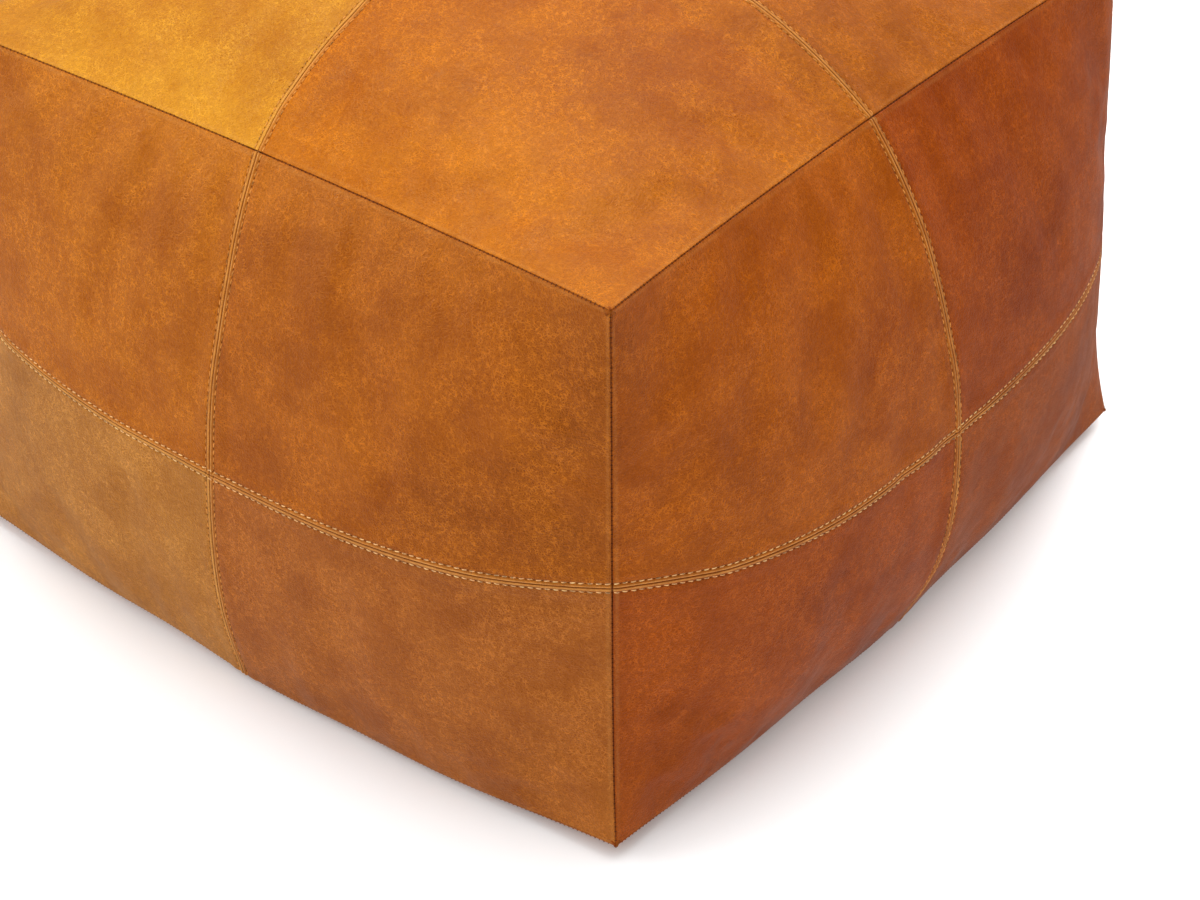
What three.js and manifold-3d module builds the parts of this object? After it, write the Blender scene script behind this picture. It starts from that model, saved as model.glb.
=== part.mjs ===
// A square stuffed leather pouf. Each side and the top are four leather panels sewn in a cross, and the
// base is two leather halves with a zip between them. A cotton liner bag with a filling slit holds the
// stuffing.
// Millimetres, +Z up. The origin is on the floor under the middle. Front is -Y, left is -X.
import * as THREE from "three";
import { mergeVertices } from "three/addons/utils/BufferGeometryUtils.js";
import Module from "manifold-3d";

const wasm = await Module();
wasm.setup();

// Overall shape. A face's own coordinates u and v run from -1 to 1 between its edge seams.
const HALF_WIDTH = 266; // half the plan, from corner to corner of the top
const CORNER_HEIGHT = 371; // floor to a top corner
const DOME = 64; // how far the middle of the top stands above its corners
const DOME_POWER = 2.45; // higher is flatter in the middle and steeper at the edges
const SIDE_POWER = { along: 3.4, up: 2.25 }; // the same for a side's bulge
const SIDE_SAG = 0.09; // share by which a side bulges more below its middle
const POST_BOW = 5.7; // how far a corner seam bows out at half height
const FOOT_FLARE = 23.5; // how far the slumped foot spreads beyond the top
const TOP_SWAY = { x: 7, y: 30 }; // how far the top's cross seams sway
// Per pair of opposite sides: bulge at half height, top edge's bow and dip, and foot edge's bow out.
const LEFT_RIGHT = { bulge: 47.5, topBow: -8.8, topDip: -1.9, footBow: 17.3 };
const FRONT_BACK = { bulge: 62.4, topBow: -12.1, topDip: -5.1, footBow: 11.3 };
const SIDE_SEAM = { corner: 0.017, middle: -0.08 }; // v of a side's level seam, at the corners and mid-side

// Leather, liner and stuffing, as depths below the outer surface.
const LEATHER = 1.3;
const LINER_DEPTH = 2;
const LINER_THICKNESS = 0.6;
const STUFFING_DEPTH = 3.2;
const SEAM_GAP = 0.25; // each panel stops this short of its seam line
const FILLING_SLIT = { length: 260, width: 6, height: 60 };

// The base is flat inside FLAT_SHARE and rises from there to its edge seam. Its middle lifts over the zip.
const FLAT_SHARE = 0.84;
const FOOT_LIFT = 4;
// The ends of the lift along the zip are shares of the half base.
const LEATHER_LIFT = { height: 6.4, full: 0.66, none: FLAT_SHARE };
const LINER_LIFT = { height: 14, full: 0.84, none: 0.96 };
const LIFT_ACROSS = { full: 0.028, none: 0.12 };
const SLIT = { half: 5.6, full: 0.64, none: 0.7 }; // between the base halves, for the zip

// Grid lines from the middle of a face to its edge, and the base's extra lines around the zip.
const LINES = [0.15, 0.4, 0.64, 0.84, 0.96, 1];
const BASE_LINES = {
  u: [0.15, 0.4, 0.64, 0.7, 0.77, 0.84, 0.96, 1],
  v: [0.05, 0.085, 0.12, 0.4, 0.64, 0.84, 0.96, 1],
};

// Nylon coil zip along X. Bottoms and tops are heights above the floor.
const CLEARANCE = 0.3;
const TAPE = { half: 200, inner: 1.2, outer: 15.2, bottom: 8, top: 8.6 };
const COIL = { half: 185.5, inner: 1.2, outer: 3.4, bottom: 5.9, top: TAPE.bottom - CLEARANCE };
const STOP = { length: 3.2, inner: 1.1, outer: 3.6, bottom: 5.6, top: COIL.top };
const SLIDER = {
  length: 12,
  front: 4.9, // half width where the rows come in apart
  frontCut: 2, // how far back the sides start to narrow to the front
  noseCut: 1.5, // how far in each front corner is cut
  rear: 4.2, // half width where the rows leave joined
  plate: 1.3,
  flange: 1,
  flangeRear: 1, // the flanges stop this far short of the plates' rear end
  flangeFront: 2.5, // and this far short of the front end
  bridgeInset: 1, // from the front end of the plates
  bridgeLength: 3,
  bridgeHalf: 0.9,
  sunk: 0.3, // how far the joined pieces run into each other
};
const CROWN = {
  half: 3.4,
  halfWidth: 0.8,
  depth: 2.9,
  eyeHalf: 2.2,
  bar: 1.1, // thickness under the eye
  cornerRise: 0.8,
  cornerCut: 1,
};
const PULL = {
  length: 30,
  half: 4.2,
  endCut: 2.5, // how far in each far corner is cut
  shoulder: 4, // the far end's length at full width
  neck: 2.9,
  eyeHalf: 1.2,
  eyeLength: 5,
  neckLength: 6,
  bar: 0.55,
  barSunk: 0.1, // how far the eye is cut into the bar
  thickness: 1.1,
};
const SLIDER_REST = COIL.half - SLIDER.length / 2; // zip closed, slider against the top stops

const SHADES = {
  honey: "#d08a3c",
  orange: "#c8752a",
  tan: "#b96f2f",
  russet: "#a85a26",
  brown: "#94521f",
  olive: "#a0692c",
};
const COLOURS = {
  tape: "#6b4a2c",
  coil: "#7a5230",
  metal: "#a8854c",
  liner: "#d9cfb8",
  stuffing: "#e6e0d2",
};

const pouf = new THREE.Group();

function add(name, geometry, color, roughness = 0.5, metalness = 0) {
  const mesh = new THREE.Mesh(geometry, new THREE.MeshStandardMaterial({ color, roughness, metalness }));
  mesh.name = name;
  pouf.add(mesh);
}

// 1 in the middle of a face and 0 at its edges.
const bell = (t, power) => 1 - Math.abs(t) ** power;

// 1 up to full, 0 from none, and smooth between.
const fade = (t, { full, none }) => 1 - THREE.MathUtils.smoothstep(Math.abs(t), full, none);

function topPoint(u, v) {
  const across = HALF_WIDTH + LEFT_RIGHT.topBow * bell(v, 2) * Math.abs(u);
  const along = HALF_WIDTH + FRONT_BACK.topBow * bell(u, 2) * Math.abs(v);
  const sway = bell(u, 2) * bell(v, 2);
  const dip = LEFT_RIGHT.topDip * bell(v, 2) * u * u + FRONT_BACK.topDip * bell(u, 2) * v * v;
  const dome = DOME * bell(u, DOME_POWER) * bell(v, DOME_POWER);
  return new THREE.Vector3(
    u * across - TOP_SWAY.x * sway * v,
    v * along - TOP_SWAY.y * sway * u,
    CORNER_HEIGHT + dip + dome,
  );
}

// The base, with its lift over the zip as high as the layer needs.
function basePoint(u, v, lift) {
  const across = HALF_WIDTH + FOOT_FLARE + LEFT_RIGHT.footBow * bell(v, 2) * Math.abs(u);
  const along = HALF_WIDTH + FOOT_FLARE + FRONT_BACK.footBow * bell(u, 2) * Math.abs(v);
  const edge = FOOT_LIFT * THREE.MathUtils.smoothstep(Math.max(Math.abs(u), Math.abs(v)), FLAT_SHARE, 1);
  return new THREE.Vector3(u * across, v * along, edge + lift.height * fade(u, lift) * fade(v, LIFT_ACROSS));
}

// A side as the front is seen from outside, u to the right and v up, turned about Z to its place.
function sidePoint(u, v, shape, turn) {
  const up = (1 + v) / 2;
  const down = (1 - v) / 2;
  const bulge = shape.bulge * bell(u, SIDE_POWER.along) * bell(v, SIDE_POWER.up) * (1 - SIDE_SAG * v);
  const post = POST_BOW * bell(v, 2);
  const flare = FOOT_FLARE * down ** 4;
  const edges = bell(u, 2) * (shape.topBow * up ** 2 + shape.footBow * down ** 2);
  const out = HALF_WIDTH + bulge + edges + post * u * u + flare;
  const along = u * (HALF_WIDTH + post * Math.abs(u) + flare);
  const height = FOOT_LIFT + (CORNER_HEIGHT - FOOT_LIFT) * up + shape.topDip * bell(u, 2) * up ** 2;
  return new THREE.Vector3(along, -out, height).applyAxisAngle(new THREE.Vector3(0, 0, 1), turn);
}

// v on a side for a panel's own v, so that v = 0 falls on the level seam.
function sideV(u, v) {
  const seam = THREE.MathUtils.lerp(SIDE_SEAM.middle, SIDE_SEAM.corner, u * u);
  return v + seam * (1 - v * v);
}

// The six faces, in an order. The sides are the front, right, back and left, each with u to the right
// from outside.
const SIDES = ["front", "right", "back", "left"];
const sideFace = (k) => ({
  order: 2 + k,
  point: (u, v) => sidePoint(u, sideV(u, v), k % 2 ? LEFT_RIGHT : FRONT_BACK, (k * Math.PI) / 2),
  neighbours: (u, v) => [
    ...(Math.abs(u) === 1 ? [[sides[(k + u + 4) % 4], -u, v]] : []),
    ...(v === 1 ? [[top, ...RIM[k](u)]] : []),
    ...(v === -1 ? [[leatherBase, ...RIM[k](u)]] : []),
  ],
});

// Where a side's u lies on the rim of the top or the base.
const RIM = [(u) => [u, -1], (u) => [1, u], (u) => [-u, 1], (u) => [-1, -u]];

// The sides that a rim point of the top (end 1) or the base (end -1) also lies on.
const rimNeighbours = (end) => (u, v) => [
  ...(v === -1 ? [[sides[0], u, end]] : []),
  ...(u === 1 ? [[sides[1], v, end]] : []),
  ...(v === 1 ? [[sides[2], -u, end]] : []),
  ...(u === -1 ? [[sides[3], -v, end]] : []),
];

const baseFace = (lift) => ({
  order: 1,
  point: (u, v) => basePoint(u, v, lift),
  neighbours: rimNeighbours(-1),
  facesDown: true,
});

const top = { order: 0, point: topPoint, neighbours: rimNeighbours(1) };
const leatherBase = baseFace(LEATHER_LIFT);
const linerBase = baseFace(LINER_LIFT);
const sides = SIDES.map((_, k) => sideFace(k));

// The outward normal of a face at u, v.
function normalAt(face, u, v) {
  const step = 1e-3;
  const alongU = face.point(u + step, v).sub(face.point(u - step, v));
  const alongV = face.point(u, v + step).sub(face.point(u, v - step));
  const normal = alongU.cross(alongV).normalize();
  return face.facesDown ? normal.negate() : normal;
}

// The point at a depth below every face that meets at u, v, so it is on the mitre where faces join. Each
// round moves the offset on to one face's parallel surface after another, and it settles on all of them.
// The faces are taken in their order, so that a shared point comes out the same from each of them.
function pointBelow(face, u, v, depth) {
  const meeting = [[face, u, v], ...face.neighbours(u, v)].sort(([a], [b]) => a.order - b.order);
  const [[first, firstU, firstV]] = meeting;
  const normals = meeting.map(([each, eachU, eachV]) => normalAt(each, eachU, eachV));
  const rounds = 80;
  const offset = new THREE.Vector3();
  for (let round = 0; round < rounds; round++) {
    for (const normal of normals) offset.addScaledVector(normal, -depth - offset.dot(normal));
  }
  return first.point(firstU, firstV).add(offset);
}

function geometryOf(points, triangles) {
  const geometry = new THREE.BufferGeometry().setFromPoints(points);
  return geometry.setIndex(triangles.flat());
}

// The triangles of a grid of points, columns by rows, whose first point is at index first.
function gridTriangles(columns, rows, first, flip) {
  const triangles = [];
  for (let i = 0; i < columns - 1; i++) {
    for (let j = 0; j < rows - 1; j++) {
      const a = first + i * rows + j;
      const [b, c, d] = [a + rows, a + rows + 1, a + 1];
      triangles.push(...(flip ? [[a, c, b], [a, d, c]] : [[a, b, c], [a, c, d]]));
    }
  }
  return triangles;
}

// A leather panel: an outer and an inner grid joined round the edge, each stopping short of the seam lines.
function leatherPanel(face, us, rowsAt) {
  const columns = us.length;
  const rows = rowsAt(us[0]).length;
  const points = [];
  for (const depth of [0, LEATHER]) {
    const grid = us.map((u) => rowsAt(u).map((v) => pointBelow(face, u, v, depth)));
    const towards = (from, to) => to.clone().sub(from).setLength(SEAM_GAP);
    for (let i = 0; i < columns; i++) {
      for (let j = 0; j < rows; j++) {
        const moved = grid[i][j].clone();
        if (i === 0) moved.add(towards(grid[0][j], grid[1][j]));
        if (i === columns - 1) moved.add(towards(grid[i][j], grid[i - 1][j]));
        if (j === 0) moved.add(towards(grid[i][0], grid[i][1]));
        if (j === rows - 1) moved.add(towards(grid[i][j], grid[i][j - 1]));
        points.push(moved);
      }
    }
  }
  const layer = columns * rows;
  const flip = Boolean(face.facesDown);
  const outside = gridTriangles(columns, rows, 0, flip);
  const inside = gridTriangles(columns, rows, layer, !flip);
  const triangles = [...outside, ...inside];
  const rim = [];
  for (let i = 0; i < columns - 1; i++) rim.push(i * rows);
  for (let j = 0; j < rows - 1; j++) rim.push((columns - 1) * rows + j);
  for (let i = columns - 1; i > 0; i--) rim.push(i * rows + rows - 1);
  for (let j = rows - 1; j > 0; j--) rim.push(j);
  rim.forEach((a, n) => {
    const b = rim[(n + 1) % rim.length];
    const quad = [[a, a + layer, b + layer], [a, b + layer, b]];
    triangles.push(...(flip ? quad.map(([p, q, r]) => [p, r, q]) : quad));
  });
  return geometryOf(points, triangles);
}

// A closed body at one depth under the whole surface, raised over the zip.
function bodyBelow(depth) {
  const lines = [...LINES.map((x) => -x).reverse(), 0, ...LINES];
  const parts = [top, linerBase, ...sides].map((face) => {
    const points = lines.flatMap((u) => lines.map((v) => pointBelow(face, u, v, depth)));
    return { points, triangles: gridTriangles(lines.length, lines.length, 0, Boolean(face.facesDown)) };
  });
  const points = parts.flatMap((part) => part.points);
  const perFace = lines.length ** 2;
  const triangles = parts.flatMap((part, n) => {
    return part.triangles.map((triangle) => triangle.map((index) => index + n * perFace));
  });
  return geometryOf(points, triangles);
}

// Solids for joins and cuts, and back.
function solid(geometry) {
  const bare = geometry.clone().deleteAttribute("normal").deleteAttribute("uv");
  const merged = mergeVertices(bare, 1e-3);
  const vertProperties = merged.attributes.position.array;
  const triVerts = new Uint32Array(merged.index.array);
  return new wasm.Manifold(new wasm.Mesh({ numProp: 3, vertProperties, triVerts }));
}

function surface(manifold) {
  const mesh = manifold.getMesh();
  const geometry = new THREE.BufferGeometry();
  geometry.setAttribute("position", new THREE.BufferAttribute(mesh.vertProperties, 3));
  return geometry.setIndex(new THREE.BufferAttribute(mesh.triVerts, 1));
}

// A box between two corners.
function block(low, high) {
  const [sizeX, sizeY, sizeZ] = high.map((value, axis) => value - low[axis]);
  const [x, y, z] = high.map((value, axis) => (value + low[axis]) / 2);
  return new THREE.BoxGeometry(sizeX, sizeY, sizeZ).translate(x, y, z);
}

// A flat plate with its outline in the XY plane, from bottom up.
function plate(outline, bottom, thickness, hole) {
  const shape = new THREE.Shape(outline.map(([x, y]) => new THREE.Vector2(x, y)));
  if (hole) shape.holes.push(new THREE.Path(hole.map(([x, y]) => new THREE.Vector2(x, y))));
  return new THREE.ExtrudeGeometry(shape, { depth: thickness, bevelEnabled: false }).translate(0, 0, bottom);
}

// Cover: four panels on the top and on each side.
const LEFT_TO_RIGHT = [LINES.map((x) => -x).reverse().concat(0), [0, ...LINES]];

function addCross(face, names, shades) {
  names.forEach((name, n) => {
    const rows = LEFT_TO_RIGHT[n >> 1];
    add(name, leatherPanel(face, LEFT_TO_RIGHT[n % 2], () => rows), SHADES[shades[n]]);
  });
}

addCross(
  top,
  ["top_panel_front_left", "top_panel_front_right", "top_panel_back_left", "top_panel_back_right"],
  ["orange", "tan", "honey", "russet"],
);

const ENDS = {
  front: ["left", "right"],
  right: ["front", "back"],
  back: ["right", "left"],
  left: ["back", "front"],
};
const SIDE_SHADES = {
  front: ["brown", "olive", "tan", "russet"],
  right: ["tan", "russet", "olive", "tan"],
  back: ["russet", "tan", "brown", "orange"],
  left: ["honey", "russet", "russet", "tan"],
};
SIDES.forEach((side, k) => {
  const names = ["lower", "upper"].flatMap((level) => {
    return ENDS[side].map((end) => `${side}_panel_${level}_${end}`);
  });
  addCross(sides[k], names, SIDE_SHADES[side]);
});

// Base halves, with the slit between them for the zip.
const baseColumns = [...BASE_LINES.u.map((x) => -x).reverse(), 0, ...BASE_LINES.u];
const slitAt = (u) => (SLIT.half / (HALF_WIDTH + FOOT_FLARE)) * fade(u, SLIT);
const frontRows = (u) => [...BASE_LINES.v.map((x) => -x).reverse(), -slitAt(u)];
const backRows = (u) => [slitAt(u), ...BASE_LINES.v];
add("base_panel_front", leatherPanel(leatherBase, baseColumns, frontRows), SHADES.russet);
add("base_panel_back", leatherPanel(leatherBase, baseColumns, backRows), SHADES.tan);

// Zip. What lies on one side of it is made for both, and side is -1 at the front and 1 at the back.
function sideBlock({ inner, outer, bottom, top: high }, side, start, end) {
  const near = side * inner;
  const far = side * outer;
  return block([start, Math.min(near, far), bottom], [end, Math.max(near, far), high]);
}

for (const [place, side] of [["front", -1], ["back", 1]]) {
  add(`zip_tape_${place}`, sideBlock(TAPE, side, -TAPE.half, TAPE.half), COLOURS.tape, 0.9);
  add(`zip_coil_${place}`, sideBlock(COIL, side, -COIL.half, COIL.half), COLOURS.coil, 0.4);
  const stopStart = COIL.half + CLEARANCE;
  const stop = sideBlock(STOP, side, stopStart, stopStart + STOP.length);
  add(`zip_top_stop_${place}`, stop, COLOURS.metal, 0.35, 1);
}
const bottomStopEnd = -COIL.half - CLEARANCE;
const bottomStop = block(
  [bottomStopEnd - STOP.length, -STOP.outer, STOP.bottom],
  [bottomStopEnd, STOP.outer, STOP.top],
);
add("zip_bottom_stop", bottomStop, COLOURS.metal, 0.35, 1);

// Slider: two plates joined by the bridge that runs between the coil rows, flanges that hold the rows,
// and the crown under it that holds the pull.
function slider() {
  const { length, front, rear, plate: thickness, flange, bridgeLength, bridgeHalf, sunk } = SLIDER;
  const half = length / 2;
  const outline = [
    [-half, -rear],
    [half - SLIDER.frontCut, -front],
    [half, -front + SLIDER.noseCut],
    [half, front - SLIDER.noseCut],
    [half - SLIDER.frontCut, front],
    [-half, rear],
  ];
  const lowerTop = COIL.bottom - CLEARANCE;
  const upperBottom = TAPE.top + CLEARANCE;
  const crownTop = lowerTop - thickness;
  const flangeRows = {
    inner: COIL.outer + CLEARANCE,
    outer: COIL.outer + CLEARANCE + flange,
    bottom: lowerTop - sunk,
    top: TAPE.bottom - CLEARANCE,
  };
  const flanges = [-1, 1].map((side) => {
    return sideBlock(flangeRows, side, -half + SLIDER.flangeRear, half - SLIDER.flangeFront);
  });
  const bridgeStart = half - SLIDER.bridgeInset - bridgeLength;
  const bridge = block(
    [bridgeStart, -bridgeHalf, lowerTop - sunk],
    [bridgeStart + bridgeLength, bridgeHalf, upperBottom + sunk],
  );
  const low = crownTop - CROWN.depth;
  const arch = [
    [-CROWN.half, crownTop + sunk],
    [-CROWN.half, low + CROWN.cornerRise],
    [-CROWN.half + CROWN.cornerCut, low],
    [CROWN.half - CROWN.cornerCut, low],
    [CROWN.half, low + CROWN.cornerRise],
    [CROWN.half, crownTop + sunk],
  ];
  const eye = [
    [-CROWN.eyeHalf, crownTop],
    [CROWN.eyeHalf, crownTop],
    [CROWN.eyeHalf, low + CROWN.bar],
    [-CROWN.eyeHalf, low + CROWN.bar],
  ];
  const crown = plate(arch, -CROWN.halfWidth, 2 * CROWN.halfWidth, eye).rotateX(Math.PI / 2);
  const plates = [plate(outline, crownTop, thickness), plate(outline, upperBottom, thickness)];
  const pieces = [...plates, ...flanges, bridge, crown];
  const joined = pieces.map(solid).reduce((sum, piece) => sum.add(piece));
  return surface(joined).translate(SLIDER_REST, 0, 0);
}
add("zip_slider", slider(), COLOURS.metal, 0.35, 1);

// Pull: a round bar in the crown's eye, and a flat tab that lies back along the closed zip.
function pull() {
  const { length, half, neck, eyeHalf, eyeLength, neckLength, bar, thickness } = PULL;
  const outline = [
    [0, neck],
    [-neckLength, neck],
    [-length + PULL.shoulder, half],
    [-length, half - PULL.endCut],
    [-length, -half + PULL.endCut],
    [-length + PULL.shoulder, -half],
    [-neckLength, -neck],
    [0, -neck],
  ];
  const eye = [
    [bar - PULL.barSunk, eyeHalf],
    [-eyeLength, eyeHalf],
    [-eyeLength, -eyeHalf],
    [bar - PULL.barSunk, -eyeHalf],
  ];
  const arms = solid(plate(outline, -thickness / 2, thickness));
  const opening = solid(plate(eye, -thickness, 2 * thickness));
  const pin = solid(new THREE.CylinderGeometry(bar, bar, 2 * neck, 12));
  return surface(arms.subtract(opening).add(pin)).translate(SLIDER_REST, 0, PULL_HEIGHT);
}
const crownEyeLow = COIL.bottom - CLEARANCE - SLIDER.plate - CROWN.depth + CROWN.bar;
const PULL_HEIGHT = crownEyeLow + (CROWN.depth - CROWN.bar) / 2;
add("zip_pull", pull(), COLOURS.metal, 0.35, 1);

// Liner bag, with its filling slit over the zip, and the stuffing inside it.
function liner() {
  const bag = solid(bodyBelow(LINER_DEPTH)).subtract(solid(bodyBelow(LINER_DEPTH + LINER_THICKNESS)));
  const { length, width, height } = FILLING_SLIT;
  return surface(bag.subtract(solid(block([-length / 2, -width / 2, 0], [length / 2, width / 2, height]))));
}
add("liner_bag", liner(), COLOURS.liner, 0.95);
add("stuffing", bodyBelow(STUFFING_DEPTH), COLOURS.stuffing, 1);

export default pouf;
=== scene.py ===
"""A square leather pouf: soft panels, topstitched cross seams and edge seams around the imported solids.

Everything is in metres. A face of the pouf has its own coordinates u and v, each from -1 to 1 between its
edge seams, and a panel is a quarter of a face. The base is two halves with a zip between them.
"""

import math

import bmesh
import bpy
import numpy as np
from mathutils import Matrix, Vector


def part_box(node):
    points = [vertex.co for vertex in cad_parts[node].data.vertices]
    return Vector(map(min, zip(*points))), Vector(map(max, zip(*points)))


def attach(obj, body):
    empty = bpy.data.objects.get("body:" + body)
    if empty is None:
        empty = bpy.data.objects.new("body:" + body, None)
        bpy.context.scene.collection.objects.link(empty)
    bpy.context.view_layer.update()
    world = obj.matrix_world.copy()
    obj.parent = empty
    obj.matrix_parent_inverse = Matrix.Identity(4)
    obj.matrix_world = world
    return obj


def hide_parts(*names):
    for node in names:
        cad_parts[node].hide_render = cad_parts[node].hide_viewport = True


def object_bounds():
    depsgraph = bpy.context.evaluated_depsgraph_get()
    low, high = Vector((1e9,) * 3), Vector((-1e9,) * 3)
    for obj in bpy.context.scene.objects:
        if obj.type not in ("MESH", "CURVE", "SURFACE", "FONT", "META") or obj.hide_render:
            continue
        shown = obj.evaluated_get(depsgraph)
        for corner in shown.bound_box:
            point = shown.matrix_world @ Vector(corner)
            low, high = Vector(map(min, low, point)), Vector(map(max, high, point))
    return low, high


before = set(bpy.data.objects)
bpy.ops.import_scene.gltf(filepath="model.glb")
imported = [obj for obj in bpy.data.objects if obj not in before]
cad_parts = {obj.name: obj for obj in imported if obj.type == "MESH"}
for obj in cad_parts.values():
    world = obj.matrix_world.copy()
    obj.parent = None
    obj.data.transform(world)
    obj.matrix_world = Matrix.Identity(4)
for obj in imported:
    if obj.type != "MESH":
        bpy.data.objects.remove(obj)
cad_low, cad_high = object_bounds()

MM = 0.001
POUF = "pouf"
SIDES = ("front", "right", "back", "left")
FACES = ("top", "base", *SIDES)

# Overall shape, from the solids.
SOLID_GAP = 0.25 * MM
HALF_WIDTH = -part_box("top_panel_front_left")[0].x + SOLID_GAP
CORNER_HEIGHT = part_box("front_panel_upper_left")[1].z + SOLID_GAP
FOOT_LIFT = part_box("front_panel_lower_left")[0].z - SOLID_GAP
FOOT_HALF = -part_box("front_panel_lower_left")[0].x + SOLID_GAP
DOME = cad_high.z - CORNER_HEIGHT
FOOT_FLARE = FOOT_HALF - HALF_WIDTH

# The curves that the solids share with the leather.
DOME_POWER = 2.45
SIDE_POWER_ALONG = 3.4
SIDE_POWER_UP = 2.25
SIDE_SAG = 0.09
POST_BOW = 5.7 * MM
TOP_SWAY = (7 * MM, 30 * MM)
LEFT_RIGHT = {"bulge": 47.5 * MM, "top_bow": -8.8 * MM, "top_dip": -1.9 * MM, "foot_bow": 17.3 * MM}
FRONT_BACK = {"bulge": 62.4 * MM, "top_bow": -12.1 * MM, "top_dip": -5.1 * MM, "foot_bow": 11.3 * MM}
SEAM_V = {"corner": 0.017, "middle": -0.08}
FLAT_SHARE = 0.84
LEATHER_LIFT = {"height": 6.4 * MM, "full": 0.66, "none": FLAT_SHARE}
LIFT_ACROSS = {"full": 0.028, "none": 0.12}
FOOT_WAVE = 7.5 * MM
FOOT_WAVE_REACH = 70 * MM
FOOT_WAVES = ((0.32, 5, 0.5), (0.18, 13, 1.0))  # the share of each wave, how many go round, and its start
SLIT = {"half": 5.6 * MM, "full": 0.64, "none": 0.70}

# Leather and sewing.
LEATHER = 1.2 * MM
SEAM_GAP = 0.07 * MM  # from a panel's folded edge to the seam's middle
EDGE_ROLL = 1.15 * MM
CROSS_ROLL = 0.55 * MM
TUCKS = (0.8 * MM, 2.0 * MM, 4.0 * MM)  # depths at which a folded edge goes on under the seam
HEM_SHARE = 0.3  # of a tuck, at the zip
ALLOWANCE = 8.5 * MM  # folded back under the leather on each side of a cross seam
ROW = 3.15 * MM  # from a cross seam to each of its stitch rows
PITCH = 5.08 * MM
THREAD = 0.32 * MM  # radius
STITCH_RISE = np.array([-0.5, 0.02, 0.22, 0.28, 0.22, 0.02, -0.5]) * MM  # along a stitch, over the leather
STITCH_SPAN = 0.72 * np.linspace(-0.5, 0.5, len(STITCH_RISE))  # along a stitch, as a share of the pitch
STITCH_SLANT = 0.22 * MM
STITCH_WANDER = (0.012, 0.06 * MM)  # along the seam as a share of the pitch, and across it
ZIP_STITCH_LIFT = 0.2 * MM
ZIP_SEAM_REACH = 0.985  # share of the base's seam that has stitch rows
EDGE_PITCH = 3.1 * MM
EDGE_BAR = 0.85 * MM  # half the length of a bar of thread across an edge seam
EDGE_SINK = 0.4 * MM
EDGE_THREAD = 0.26 * MM
EDGE_REACH = 0.986  # share of an edge seam that shows its thread
COIL_PITCH = 1.75 * MM
FILAMENT = 0.3 * MM


def bell(t, power):
    """1 in the middle of a face and 0 at its edges."""
    return 1 - np.abs(t) ** power


def ramp(t, start, end):
    """0 up to start, 1 from end, and smooth between, either way round."""
    share = np.clip((t - start) / (end - start), 0, 1)
    return share * share * (3 - 2 * share)


def fade(t, span):
    """1 up to the span's full, 0 from its none."""
    return 1 - ramp(np.abs(t), span["full"], span["none"])


def top_point(u, v):
    across = HALF_WIDTH + LEFT_RIGHT["top_bow"] * bell(v, 2) * np.abs(u)
    along = HALF_WIDTH + FRONT_BACK["top_bow"] * bell(u, 2) * np.abs(v)
    sway = bell(u, 2) * bell(v, 2)
    dip = LEFT_RIGHT["top_dip"] * bell(v, 2) * u * u + FRONT_BACK["top_dip"] * bell(u, 2) * v * v
    dome = DOME * bell(u, DOME_POWER) * bell(v, DOME_POWER)
    x = u * across - TOP_SWAY[0] * sway * v
    y = v * along - TOP_SWAY[1] * sway * u
    return np.stack([x, y, CORNER_HEIGHT + dip + dome], -1)


def base_point(u, v):
    across = FOOT_HALF + LEFT_RIGHT["foot_bow"] * bell(v, 2) * np.abs(u)
    along = FOOT_HALF + FRONT_BACK["foot_bow"] * bell(u, 2) * np.abs(v)
    edge = FOOT_LIFT * ramp(np.maximum(np.abs(u), np.abs(v)), FLAT_SHARE, 1)
    lift = LEATHER_LIFT["height"] * fade(u, LEATHER_LIFT) * fade(v, LIFT_ACROSS)
    return np.stack([u * across, v * along, edge + lift], -1)


def side_point(k, u, v):
    """Side k, with u to the right as seen from outside. The level seam is at v = 0."""
    shape = LEFT_RIGHT if k % 2 else FRONT_BACK
    seam = SEAM_V["middle"] + (SEAM_V["corner"] - SEAM_V["middle"]) * u * u
    v = v + seam * bell(v, 2)
    up, down = (1 + v) / 2, (1 - v) / 2
    bulge = shape["bulge"] * bell(u, SIDE_POWER_ALONG) * bell(v, SIDE_POWER_UP) * (1 - SIDE_SAG * v)
    post = POST_BOW * bell(v, 2)
    flare = FOOT_FLARE * down**4
    edges = bell(u, 2) * (shape["top_bow"] * up**2 + shape["foot_bow"] * down**2)
    out = HALF_WIDTH + bulge + edges + post * u * u + flare
    along = u * (HALF_WIDTH + post * np.abs(u) + flare)
    height = FOOT_LIFT + (CORNER_HEIGHT - FOOT_LIFT) * up + shape["top_dip"] * bell(u, 2) * up**2
    x, y = along, -out
    for _ in range(k):
        x, y = -y, x
    return np.stack([x, y, height], -1)


def foot_wave(place):
    """How far the bottom edge is off the floor, beyond its usual lift, and the sides just above it."""
    x, y, z = (place[..., n] for n in range(3))
    outward = np.maximum(np.abs(x), np.abs(y)) / FOOT_HALF
    rim = ramp(outward, 0.88, 1.0) * (1 - ramp(z, 0.0, FOOT_WAVE_REACH))
    wave = 0.5
    for share, waves, start in FOOT_WAVES:
        wave = wave + share * np.sin(waves * np.arctan2(y, x) + start)
    return FOOT_WAVE * wave * rim


def plain_point(face, u, v):
    """A point of the face before sewing and swelling."""
    if face == "top":
        return top_point(u, v)
    place = base_point(u, v) if face == "base" else side_point(SIDES.index(face), u, v)
    place[..., 2] += foot_wave(place)
    return place


def unit(vectors):
    return vectors / np.linalg.norm(vectors, axis=-1, keepdims=True)


def plain_normal(face, u, v):
    step = 1e-3
    along_u = plain_point(face, u + step, v) - plain_point(face, u - step, v)
    along_v = plain_point(face, u, v + step) - plain_point(face, u, v - step)
    normal = unit(np.cross(along_u, along_v))
    return -normal if face == "base" else normal


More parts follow.
